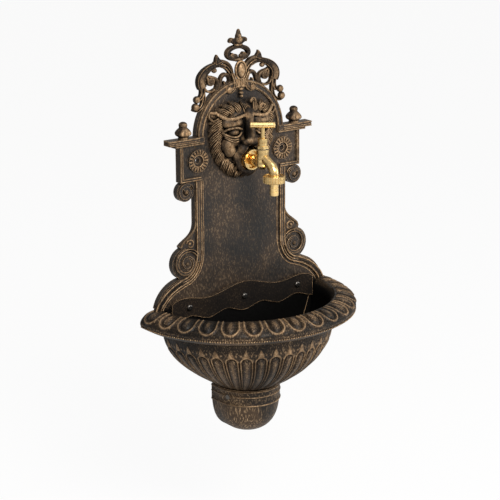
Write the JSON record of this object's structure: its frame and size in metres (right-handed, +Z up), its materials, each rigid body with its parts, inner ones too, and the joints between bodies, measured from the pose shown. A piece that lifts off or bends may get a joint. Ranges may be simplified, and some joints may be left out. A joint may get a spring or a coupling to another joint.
{
  "type": "wall fountain",
  "caption": "Cast wall fountain: scrolled back plate with pierced crest, lion mask holding a brass bib tap, half-round gadrooned basin with drain and pendant cup.",
  "frame": {"origin": "midway between the two wall fixing holes, on the wall plane that the back of the casting rests on", "axes": "+Z up, +X to the viewer's right when facing the fountain, the front faces -Y and the wall is at +Y"},
  "size_m": [0.35, 0.18, 0.61],
  "materials": {
    "back_plate": "cast aluminium with a near-black bronze paint, rubbed to tan on raised edges",
    "finial_left": "cast aluminium with a near-black bronze paint, rubbed to tan on raised edges",
    "finial_right": "cast aluminium with a near-black bronze paint, rubbed to tan on raised edges",
    "crest": "cast aluminium with a near-black bronze paint, rubbed to tan on raised edges",
    "lion_mask": "cast aluminium with a near-black bronze paint, rubbed to tan on raised edges",
    "clamp_strip": "cast aluminium with a near-black bronze paint, rubbed to tan on raised edges",
    "basin": "cast aluminium with a brown bronze paint and tan speckle",
    "drain_cup": "cast aluminium with a brown bronze paint and tan speckle",
    "mouth_flange": "polished",
    "inlet_socket": "polished",
    "socket_nut": "polished",
    "tap_body": "polished",
    "bonnet": "polished",
    "gland_nut": "polished",
    "spindle": "polished",
    "handle_bar": "polished",
    "handle_pin": "polished",
    "jumper_valve": "polished",
    "valve_nut": "polished",
    "union_nut": "polished",
    "hose_tail": "polished",
    "drain_body": "polished",
    "drain_nut": "polished",
    "crest_screws": "satin",
    "mask_screws": "satin",
    "basin_bolts": "satin",
    "bolt_washers": "satin",
    "bolt_nuts": "satin",
    "drain_strainer": "satin",
    "strainer_screw": "satin",
    "cup_screws": "satin",
    "socket_seal": "matt",
    "gland_packing": "matt",
    "valve_washer": "matt",
    "union_washer": "matt",
    "drain_seal": "matt",
    "bonnet_washer": "matt"
  },
  "bodies": {
    "fountain": {"back_plate": "back_plate", "finial_left": "finial_left", "finial_right": "finial_right", "crest": "crest", "lion_mask": "lion_mask", "clamp_strip": "clamp_strip", "basin": "basin", "drain_cup": "drain_cup", "mouth_flange": "mouth_flange", "inlet_socket": "inlet_socket", "socket_nut": "socket_nut", "tap_body": "tap_body", "bonnet": "bonnet", "gland_nut": "gland_nut", "drain_body": "drain_body", "drain_nut": "drain_nut", "crest_screws": "crest_screws", "mask_screws": "mask_screws", "basin_bolts": "basin_bolts", "bolt_washers": "bolt_washers", "bolt_nuts": "bolt_nuts", "drain_strainer": "drain_strainer", "strainer_screw": "strainer_screw", "cup_screws": "cup_screws", "socket_seal": "socket_seal", "gland_packing": "gland_packing", "drain_seal": "drain_seal", "bonnet_washer": "bonnet_washer"},
    "valve": {"jumper_valve": "jumper_valve", "valve_washer": "valve_washer", "valve_nut": "valve_nut"},
    "handle": {"spindle": "spindle", "handle_bar": "handle_bar", "handle_pin": "handle_pin"},
    "hose_end": {"hose_tail": "hose_tail", "union_washer": "union_washer"},
    "union": {"union_nut": "union_nut"}
  },
  "joints": [
    {"name": "valve_rise", "type": "slide", "parent": "fountain", "child": "valve", "axis": [0, 0, 1], "range_m": [0, 0.005]},
    {"name": "handle_turn", "type": "hinge", "parent": "valve", "child": "handle", "pos_m": [0, -0.066, 0.0525], "axis": [0, 0, 1], "range_deg": [0, 720]},
    {"name": "hose_drop", "type": "slide", "parent": "fountain", "child": "hose_end", "axis": [0, 0, -1], "range_m": [0, 0.00544]},
    {"name": "union_turn", "type": "hinge", "parent": "hose_end", "child": "union", "pos_m": [0, -0.0935, -0.0224], "axis": [0, 0, -1], "range_deg": [0, 1080]}
  ],
  "couplings": [
    {"joint": "handle_turn", "follows": "valve_rise", "rad_per_m": 2513.3},
    {"joint": "union_turn", "follows": "hose_drop", "rad_per_m": 3465}
  ]
}
